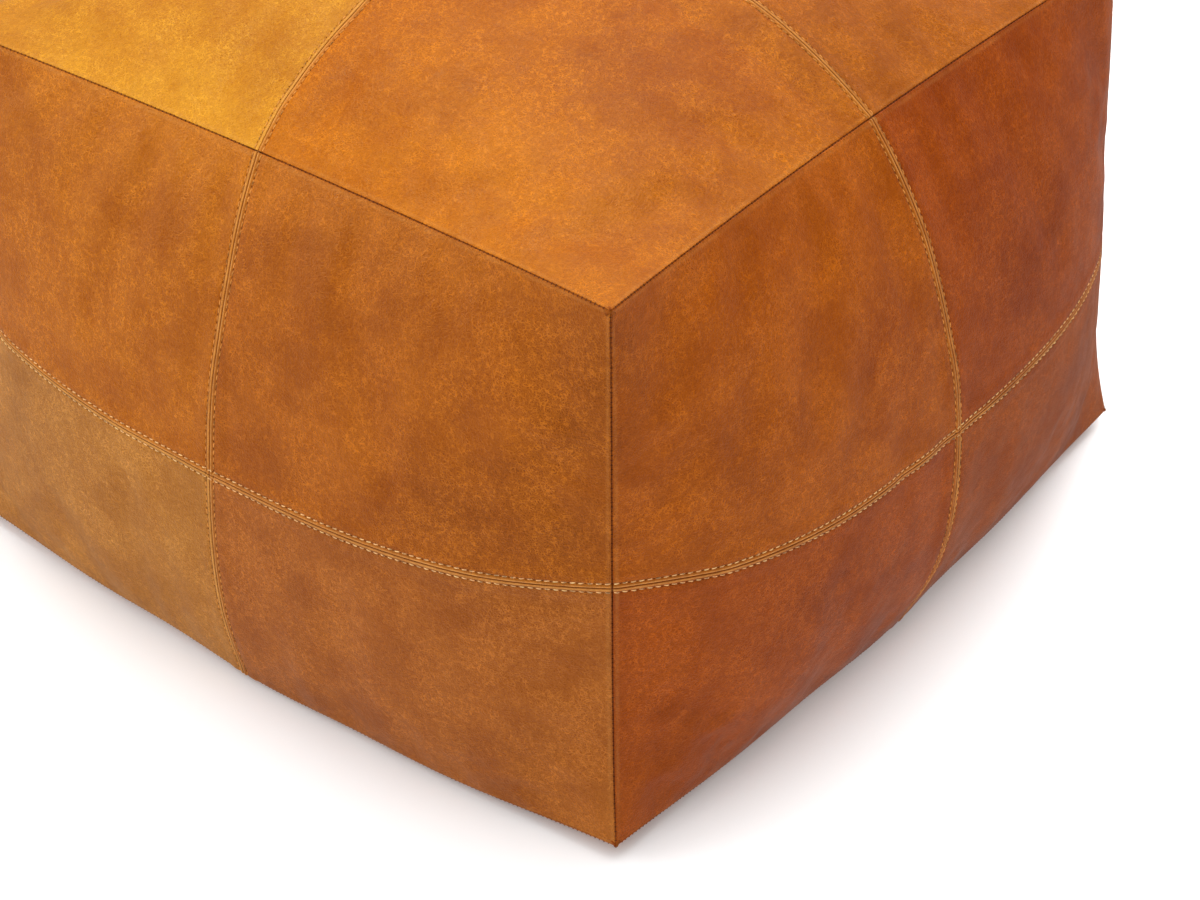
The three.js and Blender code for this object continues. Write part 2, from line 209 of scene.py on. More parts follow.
def beyond(face, axis, end, t):
    """The next face's normal, across the edge where axis 0 (u) or 1 (v) is end, at t along that edge."""
    if face in SIDES:
        k = SIDES.index(face)
        if axis == 0:
            return plain_normal(SIDES[(k + end) % 4], np.full_like(t, -end), t)
        rim_u, rim_v = [(t, -1 + 0 * t), (1 + 0 * t, t), (-t, 1 + 0 * t), (-1 + 0 * t, -t)][k]
        return plain_normal("top" if end > 0 else "base", rim_u, rim_v)
    side, along = {(1, -1): (0, t), (0, 1): (1, t), (1, 1): (2, -t), (0, -1): (3, -t)}[axis, end]
    return plain_normal(SIDES[side], along, np.full_like(t, 1 if face == "top" else -1))


# Half lengths of the faces, which turn a share of a face into a distance from its seams. A side bulges, so
# that it is longer over its surface than it is high.
SIDE_ARC = 1.04
HALF_LENGTH = {"top": (HALF_WIDTH, HALF_WIDTH), "base": (FOOT_HALF, FOOT_HALF)}
for side_name in SIDES:
    HALF_LENGTH[side_name] = (HALF_WIDTH, SIDE_ARC * (CORNER_HEIGHT - FOOT_LIFT) / 2)


def rolled(distance, radius):
    """How far leather has turned in at a distance from the seam that it rolls into."""
    share = np.clip(1 - distance / radius, 0, 1)
    return radius * (1 - np.sqrt(1 - share * share))


def swell_at(distance, shape):
    """A rounded swell beside a seam, with its height, how far off it is highest, and its width."""
    return shape["height"] * np.exp(-(((distance - shape["off"]) / shape["width"]) ** 2))


# Beside a cross seam the allowance raises the leather, the fold makes a ridge, and the stitches draw it in.
RAISED = {"height": 0.6 * MM, "full": ALLOWANCE, "none": ALLOWANCE + 3.5 * MM}
RIDGE = {"height": 0.35 * MM, "off": 1.35 * MM, "width": 0.8 * MM}
DRAWN_IN = {"height": 0.45 * MM, "off": ROW, "width": 0.75 * MM}
GATHERS = {"height": 0.13 * MM, "off": 4.5 * MM, "width": 5 * MM}


def cross_profile(distance):
    """Heights beside a cross seam: what the allowance adds, and the ridge with the drawn-in row."""
    raised = RAISED["height"] * fade(distance, RAISED)
    return raised, swell_at(distance, RIDGE) - swell_at(distance, DRAWN_IN)


def pucker(along, distance, turn):
    """Small gathers beside an edge seam, where the thread draws the leather in."""
    gather = np.sin(along / (1.9 * MM) + 1.7 * np.sin(along / (10 * MM) + turn) + turn)
    gather = gather + 0.7 * np.sin(along / (1.15 * MM) + 2.1 * np.sin(along / (6.5 * MM) + 2 * turn))
    strength = 0.55 + 0.45 * np.sin(along / (37 * MM) + 3 * turn)
    return gather * strength * swell_at(distance, GATHERS)


def slit_share(u):
    """Half width of the slit for the zip, as a share of the base."""
    return SLIT["half"] / FOOT_HALF * fade(u, SLIT)


def seam_distances(face, u, v):
    """Distances from the cross seams and from the edge seams, as (cross_u, cross_v, edge_u, edge_v)."""
    length_u, length_v = HALF_LENGTH[face]
    edge_u = (1 - np.abs(u)) * length_u
    edge_v = (1 - np.abs(v)) * length_v
    if face == "base":
        return np.full_like(edge_u, 1.0), (np.abs(v) - slit_share(u)) * length_v, edge_u, edge_v
    return np.abs(u) * length_u, np.abs(v) * length_v, edge_u, edge_v


def skin(face, u, v, tuck_u=0.0, tuck_v=0.0):
    """A point of the sewn leather. A tuck is how much further it goes under the seam where u or v ends."""
    spread = np.broadcast_arrays(u, v, tuck_u, tuck_v)
    u, v, tuck_u, tuck_v = (np.array(values, float) for values in spread)
    normal = plain_normal(face, u, v)
    cross_u, cross_v, edge_u, edge_v = seam_distances(face, u, v)
    in_middle = np.abs(u) < 0.5
    drop = rolled(cross_u, CROSS_ROLL) + np.where(in_middle, tuck_u, 0)
    drop = np.maximum(drop, rolled(cross_v, CROSS_ROLL) + np.where(np.abs(v) < 0.5, tuck_v, 0))
    if face == "base":
        height = 0
    else:
        raised_u, fine_u = cross_profile(cross_u)
        raised_v, fine_v = cross_profile(cross_v)
        height = np.maximum(raised_u, raised_v) + fine_u + fine_v
    length_u, length_v = HALF_LENGTH[face]
    turn = FACES.index(face)
    height = height + pucker(v * length_v, edge_u, turn + np.sign(u))
    height = height + pucker(u * length_u, edge_v, turn + np.sign(v))
    inward = np.zeros(u.shape + (3,))
    for axis, t, other, distance, tuck in ((0, u, v, edge_u, tuck_u), (1, v, u, edge_v, tuck_v)):
        turned = rolled(distance, EDGE_ROLL) + np.where(np.abs(t) > 0.5, tuck, 0)
        for end in (-1, 1):
            near = (turned > 0) & (t * end > 0.5)
            if near.any():
                across = beyond(face, axis, end, other[near])
                share = turned[near] / np.linalg.norm(normal[near] + across, axis=-1)
                inward[near] += across * share[:, None]
                drop[near] = np.maximum(drop[near], share)
    return plain_point(face, u, v) + swelling(face, u, v) + normal * (height - drop)[..., None] - inward


# ---- stuffing

SWELL_LINES = 37  # of the simulated skin, across each face
SWELL = {}  # how far the stuffing has moved each face's points, on SWELL_LINES by SWELL_LINES places
SWELL_CAP = 2.2 * MM
SWELL_SHARE = 0.55  # of the simulated swell that is kept, before the cap
SWELL_FADE = 1 / 8  # share of a half face beside its edge where the swell dies out
SWELL_STEPS = 20
CLOTH = {
    "quality": 6,
    "mass": 0.25,
    "tension_stiffness": 12,
    "compression_stiffness": 12,
    "shear_stiffness": 6,
    "bending_stiffness": 1.5,
    "shrink_min": -0.035,  # the cloth is cut this much larger than the shape it covers
    "use_pressure": True,
    "uniform_pressure_force": 4,
    "vertex_group_mass": "pins",
}


def smoothed(grid, spread=3):
    """A grid averaged over its neighbours, spread cells each way, with its border repeated."""
    kernel = np.exp(-((np.arange(-2 * spread, 2 * spread + 1) / spread) ** 2))
    kernel /= kernel.sum()
    for axis in (0, 1):
        margins = [(0, 0), (0, 0)]
        margins[axis] = (2 * spread, 2 * spread)
        padded = np.pad(grid, margins, mode="edge")
        grid = np.apply_along_axis(lambda line: np.convolve(line, kernel, mode="valid"), axis, padded)
    return grid


def simulate_stuffing():
    """Blows up a slack closed skin with Blender's Cloth, and keeps the soft dents and swells it makes."""
    t = np.linspace(-1, 1, SWELL_LINES)
    u, v = (grid.ravel() for grid in np.meshgrid(t, t, indexing="ij"))
    points = np.concatenate([plain_point(face, u, v) for face in FACES])
    rim = np.maximum(abs(u), abs(v)) > 0.999
    held = np.concatenate([np.where(rim, 1.0, float(face == "base")) for face in FACES])
    quads = []
    for number, face in enumerate(FACES):
        quads.append(grid_quads(SWELL_LINES, SWELL_LINES, face == "base") + number * len(u))
    rounded = np.round(points / (0.01 * MM))
    _, first, welded = np.unique(rounded, axis=0, return_index=True, return_inverse=True)
    welded = welded.ravel()
    skin_object = mesh_object("stuffing_simulation", points[first], welded[np.concatenate(quads)])
    pins = skin_object.vertex_groups.new(name="pins")
    pin_weight = np.zeros(len(first))
    np.maximum.at(pin_weight, welded, held)
    pins.add([int(pinned) for pinned in np.nonzero(pin_weight)[0]], 1.0, "REPLACE")
    cloth = skin_object.modifiers.new("cloth", "CLOTH")
    for name, value in CLOTH.items():
        setattr(cloth.settings, name, value)
    cloth.settings.effector_weights.gravity = 0
    for frame_number in range(1, SWELL_STEPS + 1):
        bpy.context.scene.frame_set(frame_number)
    shaped = skin_object.evaluated_get(bpy.context.evaluated_depsgraph_get()).to_mesh()
    after = np.empty(3 * len(shaped.vertices), np.float32)
    shaped.vertices.foreach_get("co", after)
    moved = after.reshape(-1, 3)[welded] - points
    bpy.data.objects.remove(skin_object)
    bpy.context.scene.frame_set(1)
    fade_in = np.clip((1 - np.abs(t)) / SWELL_FADE, 0, 1)
    for number, face in enumerate(FACES):
        if face == "base":
            continue
        normal = plain_normal(face, u, v)
        own = moved[number * len(u) : (number + 1) * len(u)]
        height = (own * normal).sum(axis=1).reshape(SWELL_LINES, SWELL_LINES)
        fine = (height - smoothed(height)) * fade_in[:, None] * fade_in[None]
        fine = SWELL_CAP * np.tanh(SWELL_SHARE * fine / SWELL_CAP)
        SWELL[face] = fine[..., None] * normal.reshape(SWELL_LINES, SWELL_LINES, 3)


def swelling(face, u, v):
    """The stuffing's movement of the skin at u, v, by cubic interpolation between the grid's points."""
    if face not in SWELL:
        return np.zeros(np.shape(u) + (3,))
    grid = SWELL[face]
    last = SWELL_LINES - 1
    total = 0
    weights, places = [], []
    for t in (u, v):
        position = np.clip((t + 1) / 2 * last, 0, last)
        cell = np.minimum(position.astype(int), last - 1)
        part = position - cell
        weights.append((
            -0.5 * part + part**2 - 0.5 * part**3,
            1 - 2.5 * part**2 + 1.5 * part**3,
            0.5 * part + 2 * part**2 - 1.5 * part**3,
            -0.5 * part**2 + 0.5 * part**3,
        ))
        places.append([np.clip(cell + step, 0, last) for step in (-1, 0, 1, 2)])
    for weight_u, place_u in zip(weights[0], places[0]):
        for weight_v, place_v in zip(weights[1], places[1]):
            total = total + (weight_u * weight_v)[..., None] * grid[place_u, place_v]
    return total


# ---- meshes


def mesh_object(name, points, quads):
    mesh = bpy.data.meshes.new(name)
    places = [tuple(place) for place in np.asarray(points, float).reshape(-1, 3)]
    mesh.from_pydata(places, [], [tuple(quad) for quad in quads])
    mesh.validate()
    mesh.polygons.foreach_set("use_smooth", [True] * len(mesh.polygons))
    obj = bpy.data.objects.new(name, mesh)
    bpy.context.scene.collection.objects.link(obj)
    return obj


def grid_quads(columns, rows, flip=False):
    """The cells of a grid of points numbered column by column."""
    corner = (np.arange(columns - 1)[:, None] * rows + np.arange(rows - 1)[None]).ravel()
    quads = np.stack([corner, corner + rows, corner + rows + 1, corner + 1], -1)
    return quads[:, ::-1] if flip else quads


def coat(obj, material):
    obj.data.materials.clear()
    obj.data.materials.append(material)


def dress(obj, material, replaces=()):
    """Gives a piece of the pouf its material, and the solids that it stands for."""
    coat(obj, material)
    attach(obj, POUF)
    if replaces:
        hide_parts(*replaces)
    return obj


# A panel's grid lines are close together near a seam, at these distances in mm, and evenly spaced beyond.
NEAR_LINES = [0.0, 0.2, 0.45, 0.75, 1.1, 1.5, 2.0, 2.6, 3.2, 3.8, 4.6, 5.7, 7.2, 9.2, 11.8]
LINE_STEP = 4.2 * MM


def panel_lines(length, gap):
    """Distances from one seam to the next for a panel's grid lines, and the tuck of each line."""
    near = np.array(NEAR_LINES) * MM + gap
    count = int((length - 2 * near[-1]) / LINE_STEP)
    middle = np.linspace(near[-1], length - near[-1], count + 2)[1:-1]
    distances = np.concatenate([near, middle, length - near[::-1]])
    tucks = np.zeros(len(distances))
    start, end = distances[0], distances[-1]
    distances = np.concatenate([[start] * len(TUCKS), distances, [end] * len(TUCKS)])
    tucks = np.concatenate([TUCKS[::-1], tucks, TUCKS])
    return distances, tucks


def seam_run(face, axis, samples=400):
    """Places t along a cross seam and how many stitches come before each. Axis 0 is the seam at u = 0."""
    t = np.linspace(-1, 1, samples)
    line = skin(face, 0 * t, t) if axis == 0 else skin(face, t, 0 * t)
    travelled = np.concatenate([[0], np.cumsum(np.linalg.norm(np.diff(line, axis=0), axis=1))])
    stitches = round(travelled[-1] / PITCH)
    return t, travelled / travelled[-1] * stitches, stitches


def leather_panel(node, face, sign_u, sign_v, material, slot):
    """A quarter of a face, or half of the base if sign_u is 0, with its edges turned in at the seams."""
    length_u, length_v = HALF_LENGTH[face]
    if sign_u:
        distance_u, tuck_u = panel_lines(length_u, SEAM_GAP)
        u = sign_u * distance_u / length_u
    else:
        distance_u, tuck_u = panel_lines(2 * length_u, SEAM_GAP)
        u = distance_u / length_u - 1
    distance_v, tuck_v = panel_lines(length_v, SEAM_GAP)
    share_v = distance_v / length_v
    if face == "base":
        start = slit_share(u)[:, None]
        v = sign_v * (start + (1 - start) * share_v[None])
    else:
        v = sign_v * np.broadcast_to(share_v, (len(u), len(share_v)))
    u = np.broadcast_to(u[:, None], v.shape)
    if face == "base":
        tuck_v = np.where(distance_v < ALLOWANCE, HEM_SHARE * tuck_v, tuck_v)
    points = skin(face, u, v, tuck_u[:, None], tuck_v[None])
    flip = (sign_u or 1) * sign_v < 0
    quads = grid_quads(*u.shape, flip != (face == "base"))
    deep_u, deep_v = (tuck > TUCKS[0] for tuck in (tuck_u[:, None], tuck_v[None]))
    tucked = (deep_u & (tuck_v[None] > 0)) | ((tuck_u[:, None] > 0) & deep_v)
    tucked = tucked.ravel()
    quads = quads[~tucked[quads].any(axis=1)]
    used = np.unique(quads)
    renumber = np.zeros(u.size, int)
    renumber[used] = np.arange(len(used))
    obj = mesh_object("leather_" + node.replace("panel_", ""), points.reshape(-1, 3)[used], renumber[quads])
    add_seam_maps(obj, face, u.ravel()[used], v.ravel()[used])
    thick = obj.modifiers.new("leather", "SOLIDIFY")
    thick.thickness = LEATHER
    thick.offset = -1
    return dress(obj, material, replaces=[node])


def add_seam_maps(obj, face, u, v):
    """Maps for the material: mm from each cross seam against stitches along it, and mm from the edges."""
    cross_u, cross_v, edge_u, edge_v = seam_distances(face, u, v)
    if face == "base":
        along_v = along_u = np.zeros_like(u)
        cross_u = cross_v = np.full_like(u, 1.0)
    else:
        t, count, _ = seam_run(face, 0)
        along_v = np.interp(v, t, count)
        t, count, _ = seam_run(face, 1)
        along_u = np.interp(u, t, count)
    corners = np.array([loop.vertex_index for loop in obj.data.loops])
    maps = {
        "seam_u": (cross_u / MM, along_v),
        "seam_v": (cross_v / MM, along_u),
        "edges": (edge_u / MM, edge_v / MM),
    }
    for name, pair in maps.items():
        layer = obj.data.uv_layers.new(name=name)
        layer.data.foreach_set("uv", np.stack(pair, -1)[corners].astype(np.float32).ravel())


def tubes(name, paths, radius, sides=8, flatten=None):
    """One mesh of many separate closed tubes. Paths are shaped (tubes, rings, 3)."""
    count, rings, _ = paths.shape
    along = unit(np.gradient(paths, axis=1))
    helper = flatten if flatten is not None else np.array([0.0, 0.0, 1.0])
    across = unit(np.cross(along, np.broadcast_to(helper, along.shape)))
    up = np.cross(across, along)
    angle = np.arange(sides) * 2 * math.pi / sides
    taper = np.ones(rings)
    taper[[0, -1]] = 0.45
    offset = across[:, :, None] * np.cos(angle)[None, None, :, None]
    offset = offset + up[:, :, None] * np.sin(angle)[None, None, :, None]
    points = paths[:, :, None] + offset * radius * taper[None, :, None, None]
    ring = np.arange(sides)
    quads = []
    for first in range(0, (rings - 1) * sides, sides):
        here, beside = first + ring, first + (ring + 1) % sides
        quads.append(np.stack([here, beside, beside + sides, here + sides], -1))
    quads = np.concatenate(quads)
    size = rings * sides
    starts = range(0, count * size, size)
    faces = [list(quad + start) for start in starts for quad in quads]
    faces += [list(ring[::-1] + start) for start in starts]
    faces += [list(ring + start + size - sides) for start in starts]
    return mesh_object(name, points.reshape(-1, 3), faces)


def thread_rows(name, face, rows, lift, material):
    """Stitches, each a run of places (u, v) along the leather with its ends sunk in their needle holes."""
    u, v = (np.concatenate(places) for places in zip(*rows))
    normal = plain_normal(face, u, v)
    paths = skin(face, u, v) + normal * (STITCH_RISE + lift)[None, :, None]
    return dress(tubes(name, paths, THREAD, flatten=normal), material)


def stitches(name, face, axis, material, seed):
    """Two stitch rows beside a cross seam, which runs along v if axis is 0 and along u if it is 1."""
    chance = np.random.default_rng(seed)
    along_by, across_by = STITCH_WANDER
    slant = STITCH_SLANT * np.linspace(-1, 1, len(STITCH_RISE))
    t, count, total = seam_run(face, axis)
    length = HALF_LENGTH[face][axis]
    rows = []
    for side in (-1, 1):
        place = np.arange(total)[:, None] + 0.5 + STITCH_SPAN[None] + chance.normal(0, along_by, (total, 1))
        along = np.interp(place, count, t)
        off = side * (ROW + slant[None] + chance.normal(0, across_by, (total, 1))) / length
        off = np.broadcast_to(off, along.shape)
        rows.append((off, along) if axis == 0 else (along, off))
    return thread_rows(name, face, rows, 0, material)


def edge_line(name, t):
    """Points along an edge seam, and the normals of the two faces that meet there."""
    if name in SIDES:
        k = SIDES.index(name)
        place = plain_point(name, 1 + 0 * t, t)
        return place, plain_normal(name, 1 + 0 * t, t), plain_normal(SIDES[(k + 1) % 4], -1 + 0 * t, t)
    side, end = name
    place = plain_point(side, t, end + 0 * t)
    return place, plain_normal(side, t, end + 0 * t), beyond(side, 1, end, t)


def edge_stitches(name, material):
    """The sewing thread that shows in all twelve edge seams as small bars across the fold."""
    paths, ups = [], []
    lines = [*SIDES, *((side, end) for side in SIDES for end in (-1, 1))]
    fine = np.linspace(-EDGE_REACH, EDGE_REACH, 300)
    for line in lines:
        place, _, _ = edge_line(line, fine)
        travelled = np.concatenate([[0], np.cumsum(np.linalg.norm(np.diff(place, axis=0), axis=1))])
        count = round(travelled[-1] / EDGE_PITCH)
        t = np.interp((np.arange(count) + 0.5) / count * travelled[-1], travelled, fine)
        place, first, second = edge_line(line, t)
        outward, across = unit(first + second), unit(first - second)
        reach = np.array([-1, -0.7, 0, 0.7, 1]) * EDGE_BAR
        sink = EDGE_SINK * np.array([1.75, 1.15, 1, 1.15, 1.75])
        bar = place[:, None] + across[:, None] * reach[None, :, None]
        paths.append(bar - outward[:, None] * sink[None, :, None])
        ups.append(np.broadcast_to(outward[:, None], paths[-1].shape))
    obj = tubes(name, np.concatenate(paths), EDGE_THREAD, sides=6, flatten=np.concatenate(ups))
    return dress(obj, material)


def zip_stitches(name, material):
    """A stitch row on each side of the slit in the base, and on along the seam to the edges."""
    total = round(2 * FOOT_HALF * ZIP_SEAM_REACH / PITCH)
    place = np.arange(total)[:, None] + 0.5 + STITCH_SPAN[None]
    u = (place / total * 2 - 1) * ZIP_SEAM_REACH
    rows = [(u, side * (slit_share(u) + ROW / FOOT_HALF)) for side in (-1, 1)]
    return thread_rows(name, "base", rows, ZIP_STITCH_LIFT, material)


def zip_coil(node, material):
    """The filament of one row of the zip, wound through the height of its solid."""
    low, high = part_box(node)
    turns = int((high.x - low.x) / COIL_PITCH)
    steps = 12
    t = np.arange(turns * steps + 1) / steps
    angle = 2 * math.pi * t
    inner = 1 if low.y > 0 else -1
    reach_y = (high.y - low.y) / 2 - FILAMENT
    reach_z = (high.z - low.z) / 2 - FILAMENT
    x = low.x + (t + 0.25 * inner + 0.3) * COIL_PITCH + 0.2 * COIL_PITCH * np.sin(angle)
    y = (low.y + high.y) / 2 + reach_y * np.cos(angle)
    z = (low.z + high.z) / 2 + reach_z * np.sin(angle)
    path = np.stack([np.clip(x, low.x + FILAMENT, high.x - FILAMENT), y, z], -1)[None]
    obj = tubes("filament_" + node, path, FILAMENT, sides=6, flatten=np.array([1.0, 0.0, 0.0]))
    return dress(obj, material, replaces=[node])


BAG_LINES = 49  # of a bag's grid, across each face
BAG_EDGE = 1.4  # where two faces meet, their shifts are added and divided by this
BAG_WELD = 1.5 * MM


def closed_skin(name, depth):
    """A closed bag of six faces, as deep under the leather as depth(face, u, v) says."""
    t = np.linspace(-1, 1, BAG_LINES)
    u, v = (grid.ravel() for grid in np.meshgrid(t, t, indexing="ij"))
    points, quads = [], []
    for face in FACES:
        start = sum(len(face_points) for face_points in points)
        normal = plain_normal(face, u, v)
        deep = depth(face, u, v)
        place = plain_point(face, u, v) + swelling(face, u, v)
        shift = normal * deep[:, None]
        for axis, along, other in ((0, u, v), (1, v, u)):
            for end in (-1, 1):
                rim = along * end > 1 - 1e-9
                across = beyond(face, axis, end, other[rim])
                shift[rim] = (shift[rim] + across * deep[rim, None]) / BAG_EDGE
        points.append(place - shift)
        quads.append(grid_quads(BAG_LINES, BAG_LINES, face == "base") + start)
    points = np.concatenate(points)
    obj = mesh_object(name, points, np.concatenate(quads))
    weld = bmesh.new()
    weld.from_mesh(obj.data)
    bmesh.ops.remove_doubles(weld, verts=weld.verts, dist=BAG_WELD)
    bmesh.ops.recalc_face_normals(weld, faces=weld.faces)
    weld.to_mesh(obj.data)
    weld.free()
    return obj


# ---- materials


def colour(red, green, blue):
    """A linear colour with alpha from display values of 0 to 255."""
    linear = []
    for share in (red / 255, green / 255, blue / 255):
        linear.append(share / 12.92 if share <= 0.04045 else ((share + 0.055) / 1.055) ** 2.4)
    return (*linear, 1.0)


class Paint:
    """A material's nodes, made one call at a time. An input is a value or another node's output."""

    def __init__(self, name):
        self.material = bpy.data.materials.new(name)
        self.material.use_nodes = True
        self.nodes = self.material.node_tree.nodes
        self.links = self.material.node_tree.links
        self.nodes.clear()

    def node(self, kind, inputs, output=0, **settings):
        node = self.nodes.new("ShaderNode" + kind)
        for key, value in settings.items():
            setattr(node, key, value)
        for key, value in inputs.items():
            if isinstance(value, bpy.types.NodeSocket):
                self.links.new(value, node.inputs[key])
            else:
                node.inputs[key].default_value = value
        return node.outputs[output]

    def place(self, shift=(0, 0, 0)):
        return self.node("VectorMath", {0: self.node("TexCoord", {}, "Object"), 1: shift}, operation="ADD")

    def math(self, operation, a, b=0.0):
        return self.node("Math", {0: a, 1: b}, operation=operation)

    def noise(self, place, scale, detail=3.0, rough=0.55, distortion=0.0):
        values = {"Vector": place, "Scale": scale, "Detail": detail, "Roughness": rough}
        return self.node("TexNoise", {**values, "Distortion": distortion}, "Fac")

    def cells(self, place, scale):
        """How far a place is from the nearest side of its cell."""
        values = {"Vector": place, "Scale": scale}
        return self.node("TexVoronoi", values, "Distance", feature="DISTANCE_TO_EDGE")

    def between(self, value, low, high, out_low=0.0, out_high=1.0):
        """A value taken smoothly from low..high to out_low..out_high."""
        names = {"Value": value, "From Min": low, "From Max": high, "To Min": out_low, "To Max": out_high}
        return self.node("MapRange", names, interpolation_type="SMOOTHSTEP")

    def blend(self, share, first, second, kind="MIX"):
        return self.node("Mix", {0: share, 6: first, 7: second}, 2, data_type="RGBA", blend_type=kind)

    def shades(self, value, stops):
        """A colour for a value, from (position, colour) stops."""
        node = self.nodes.new("ShaderNodeValToRGB")
        self.links.new(value, node.inputs[0])
        ramp_elements = node.color_ramp.elements
        while len(ramp_elements) < len(stops):
            ramp_elements.new(0.5)
        for element, (position, shade) in zip(ramp_elements, stops):
            element.position = position
            element.color = shade
        return node.outputs[0]

    def split(self, vector):
        node = self.nodes.new("ShaderNodeSeparateXYZ")
        self.links.new(vector, node.inputs[0])
        return node.outputs

    def bump(self, height, distance):
        """The normal over a height that is given in units of a distance."""
        return self.node("Bump", {"Height": height, "Distance": distance, "Strength": 1.0})

    def finish(self, values):
        """The material, with its Principled shader's inputs from the values."""
        output = self.nodes.new("ShaderNodeOutputMaterial")
        self.links.new(self.node("BsdfPrincipled", values), output.inputs["Surface"])
        return self.material


def spot(paint, value, centre, width):
    """1 where the value is at centre, falling smoothly to 0 a width away."""
    away = paint.math("ABSOLUTE", paint.math("SUBTRACT", value, centre))
    return paint.between(away, 0.0, width, 1.0, 0.0)


# Dark patches darken, oil marks deepen, and light and rubbing fade; the dark patch and oil marks on the
# top's dome are partly painted shade, and the faded marks along the top edges are a painted sheen where the
# rounded edges catch the light. Each is a colour that multiplies the hide's.
MARK_COLOURS = {"dark_patch": (0.64, 0.54, 0.66, 1), "oil_and_shade": (0.74, 0.5, 0.25, 1), "faded_and_sheen": (1.3, 1.55, 1.7, 1)}

# The middle of each mark, its reach along each axis, its kind and its strength.
MARKS = (
    ((-0.278, -0.258, 0.335), (0.06, 0.06, 0.06), "dark_patch", 0.55),
    ((-0.30, -0.215, 0.215), (0.10, 0.11, 0.085), "dark_patch", 0.55),
    ((-0.225, -0.30, 0.215), (0.06, 0.06, 0.07), "dark_patch", 0.3),
    ((-0.278, -0.25, 0.29), (0.055, 0.05, 0.05), "dark_patch", 0.6),
    # Partly painted shade where the top's dome turns from the light beside its cross seam, partly a dark
    # patch.
    ((-0.005, -0.215, 0.392), (0.04, 0.09, 0.06), "dark_patch", 0.4),
    ((-0.12, -0.32, 0.12), (0.11, 0.10, 0.07), "dark_patch", 0.25),
    ((0.30, 0.15, 0.25), (0.12, 0.12, 0.12), "dark_patch", 0.4),
    ((0.29, -0.16, 0.12), (0.10, 0.10, 0.10), "dark_patch", 0.35),
    ((0.10, 0.31, 0.26), (0.13, 0.13, 0.13), "dark_patch", 0.4),
    ((-0.20, 0.30, 0.15), (0.10, 0.10, 0.10), "dark_patch", 0.35),
    ((-0.31, 0.16, 0.14), (0.09, 0.09, 0.09), "dark_patch", 0.25),
    # Partly painted shade on the top's dome, partly oil.
    ((-0.08, -0.17, 0.41), (0.11, 0.11, 0.09), "oil_and_shade", 0.75),
    ((-0.05, -0.32, 0.25), (0.07, 0.07, 0.08), "oil_and_shade", 0.6),
    ((0.09, -0.315, 0.25), (0.09, 0.09, 0.10), "oil_and_shade", 0.6),
    ((-0.11, -0.32, 0.12), (0.09, 0.09, 0.07), "oil_and_shade", 0.4),
    ((0.08, 0.15, 0.42), (0.11, 0.09, 0.09), "oil_and_shade", 0.5),
    ((0.31, -0.08, 0.30), (0.10, 0.09, 0.08), "oil_and_shade", 0.5),
    ((-0.07, 0.32, 0.26), (0.10, 0.09, 0.08), "oil_and_shade", 0.5),
    # Along the top edges, the faded marks are a painted sheen where the rounded edge catches the light.
    ((-0.262, 0.01, 0.375), (0.07, 0.26, 0.06), "faded_and_sheen", 0.8),
    ((-0.215, -0.15, 0.395), (0.06, 0.13, 0.05), "faded_and_sheen", 0.7),
    ((-0.262, -0.13, 0.378), (0.05, 0.17, 0.045), "faded_and_sheen", 0.6),
    ((-0.29, -0.29, 0.01), (0.06, 0.06, 0.06), "faded_and_sheen", 0.45),
    ((0.06, 0.262, 0.375), (0.20, 0.06, 0.06), "faded_and_sheen", 0.6),
    ((0.262, 0.06, 0.375), (0.06, 0.20, 0.06), "faded_and_sheen", 0.5),
)


def with_marks(paint, shade, ragged):
    """A shade with the marks over it: dark patches, oil and faded leather, with painted shade on the top's
    dome and painted sheen along the top edges.
    """
    body = paint.place()
    for kind, mark_colour in MARK_COLOURS.items():
        marked = 0.0
        for centre, reach, mark_kind, strength in MARKS:
            if mark_kind == kind:
                away = paint.node("VectorMath", {0: body, 1: centre}, operation="SUBTRACT")
                away = paint.node("VectorMath", {0: away, 1: reach}, operation="DIVIDE")
                away = paint.node("VectorMath", {0: away}, 1, operation="LENGTH")
                here = paint.between(paint.math("ADD", away, ragged), 0.15, 1.0, strength, 0.0)
                marked = paint.math("MAXIMUM", marked, here)
        shade = paint.blend(marked, shade, mark_colour, "MULTIPLY")
    return shade


def grain(paint, place):
    """Pebbles, short creases that run every way between them, and pits, each from 0 to 1."""
    bent = paint.node("TexNoise", {"Vector": place, "Scale": 140.0, "Detail": 2.0}, "Color")
    bent = paint.node("VectorMath", {0: bent, 1: (0.006, 0.006, 0.006)}, operation="MULTIPLY")
    bent = paint.node("VectorMath", {0: place, 1: bent}, operation="ADD")
    drawn_out = paint.node("VectorMath", {0: bent, 1: (1.0, 0.62, 0.8)}, operation="MULTIPLY")
    pebbles = paint.between(paint.cells(bent, 470.0), 0.0, 0.3)
    patchy = paint.between(paint.noise(place, 26.0, 5.0, 0.6), 0.36, 0.64, 0.4, 1.0)
    wrinkles = paint.between(paint.cells(drawn_out, 640.0), 0.02, 0.17, 0.75, 0.0)
    broken = paint.between(paint.noise(place, 300.0, 2.0), 0.42, 0.56, 0.15, 1.0)
    fine_wrinkles = paint.between(paint.cells(bent, 900.0), 0.03, 0.25, 0.4, 0.0)
    wrinkles = paint.math("MAXIMUM", paint.math("MULTIPLY", wrinkles, broken), fine_wrinkles)
    wrinkles = paint.math("MULTIPLY", wrinkles, patchy)
    scratches = spot(paint, paint.noise(place, 55.0, 2.0, 0.5, 0.3), 0.5, 0.012)
    scratched = paint.between(paint.noise(place, 48.0, 3.0), 0.52, 0.62)
    scratches = paint.math("MULTIPLY", scratches, scratched)
    creases = paint.math("MAXIMUM", wrinkles, paint.math("MULTIPLY", scratches, 0.5))
    pits = paint.between(paint.noise(place, 560.0, 3.0, 0.7), 0.52, 0.66, 0.0, 0.4)
    return pebbles, creases, pits


